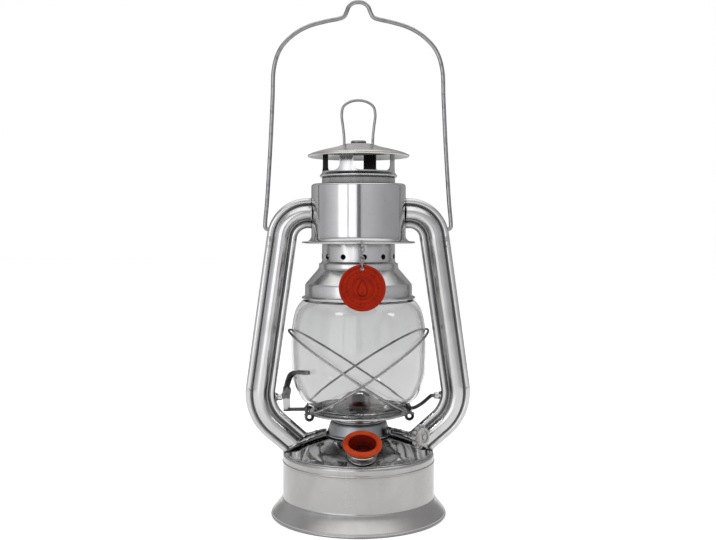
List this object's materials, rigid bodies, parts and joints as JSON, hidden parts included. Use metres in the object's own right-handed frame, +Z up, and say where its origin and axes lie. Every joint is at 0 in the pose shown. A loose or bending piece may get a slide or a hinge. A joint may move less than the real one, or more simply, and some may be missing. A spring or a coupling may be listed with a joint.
{
  "type": "hurricane lantern",
  "caption": "Oil lantern with a domed tank, side air tubes, lifting glass globe with wire guard, hood, vented cap, wick knob, screw filler cap and swinging bail.",
  "frame": {"origin": "centre of the foot's circle, on the surface that the lantern stands on", "axes": "+Z up along the lantern's axis, X through the two side tubes, -Y the front with the filler cap and the tag"},
  "size_m": [0.1558, 0.1212, 0.3525],
  "materials": {
    "tin": "bright tinplate, slightly hazy",
    "dull_tin": "satin",
    "steel_wire": "bright drawn wire",
    "brass": "satin",
    "red_paint": "semi-gloss",
    "globe_glass": "clear, polished",
    "clear_knob": "clear, polished",
    "cotton": "woven",
    "rubber": "matte"
  },
  "bodies": {
    "frame": {"tank_body": "tin", "tank_top": "tin", "tank_bottom": "dull_tin", "filler_neck": "tin", "burner_collar": "brass", "air_chamber": "dull_tin", "burner_base": "brass", "burner_cone": "tin", "wick_tube": "brass", "shaft_gland": "dull_tin", "side_tube_left": "tin", "side_tube_right": "tin", "tube_foot_left": "tin", "tube_foot_right": "tin", "hood": "tin", "lever_bracket_left": "dull_tin", "pivot_eye_right": "dull_tin", "chain_link_1": "steel_wire"},
    "globe_carriage": {"globe_plate": "tin", "globe": "globe_glass", "plate_ear_left": "tin", "plate_ear_right": "tin", "guard_wire_inner": "steel_wire", "guard_wire_outer": "steel_wire"},
    "chimney": {"chimney_tube": "dull_tin", "globe_cap": "tin", "spring_ring": "dull_tin", "chimney_spring": "steel_wire", "vent_crown": "tin", "cap_disc": "tin", "cap_collar": "tin", "lift_ring": "steel_wire"},
    "lift_lever": {"crank_rod": "steel_wire", "lever_plate": "tin", "lever_pin": "steel_wire", "lever_handle": "tin"},
    "wick_drive": {"wick_knob": "clear_knob", "wick_shaft": "steel_wire", "spur_wheel_1": "brass", "spur_wheel_2": "brass"},
    "wick": {"wick": "cotton"},
    "cap_carrier": {"cap_gasket": "rubber"},
    "cap": {"fuel_cap": "red_paint"},
    "tag": {"tag_disc": "red_paint", "chain_link_2": "steel_wire", "chain_link_3": "steel_wire", "chain_link_4": "steel_wire", "chain_link_5": "steel_wire"},
    "bail": {"bail": "steel_wire"}
  },
  "joints": [
    {"name": "bail_swing", "type": "hinge", "parent": "frame", "child": "bail", "pos_m": [0, 0, 0.1965], "axis": [1, 0, 0], "range_deg": [-115, 115]},
    {"name": "globe_lift", "type": "slide", "parent": "frame", "child": "globe_carriage", "axis": [0, 0, 1], "range_m": [0, 0.0098]},
    {"name": "lever_turn", "type": "hinge", "parent": "frame", "child": "lift_lever", "pos_m": [0, 0, 0.081], "axis": [1, 0, 0], "range_deg": [0, 23.5]},
    {"name": "chimney_lift", "type": "slide", "parent": "globe_carriage", "child": "chimney", "axis": [0, 0, 1], "range_m": [0, 0.01], "stiffness_N_per_m": 300, "springref_m": -0.01, "deforming": ["chimney_spring"]},
    {"name": "wick_turn", "type": "hinge", "parent": "frame", "child": "wick_drive", "pos_m": [0.00307, 0.00315, 0.0592], "axis": [0.7169, -0.6972, 0], "range_deg": [-90, 90]},
    {"name": "wick_feed", "type": "slide", "parent": "frame", "child": "wick", "axis": [0, 0, 1], "range_m": [-0.00439, 0.00439]},
    {"name": "cap_lift", "type": "slide", "parent": "frame", "child": "cap_carrier", "axis": [0, -0.4384, 0.8988], "range_m": [0, 0.006]},
    {"name": "cap_turn", "type": "hinge", "parent": "cap_carrier", "child": "cap", "pos_m": [0, -0.04, 0.0481], "axis": [0, -0.4384, 0.8988], "range_deg": [0, 1080]},
    {"name": "tag_swing", "type": "hinge", "parent": "frame", "child": "tag", "pos_m": [0, -0.0381, 0.18559], "axis": [1, 0, 0], "range_deg": [-80, 0]}
  ],
  "couplings": [
    {"joint": "lever_turn", "follows": "globe_lift", "rad_per_m": 41.85},
    {"joint": "wick_turn", "follows": "wick_feed", "rad_per_m": -357.14},
    {"joint": "cap_turn", "follows": "cap_lift", "rad_per_m": 3141}
  ]
}
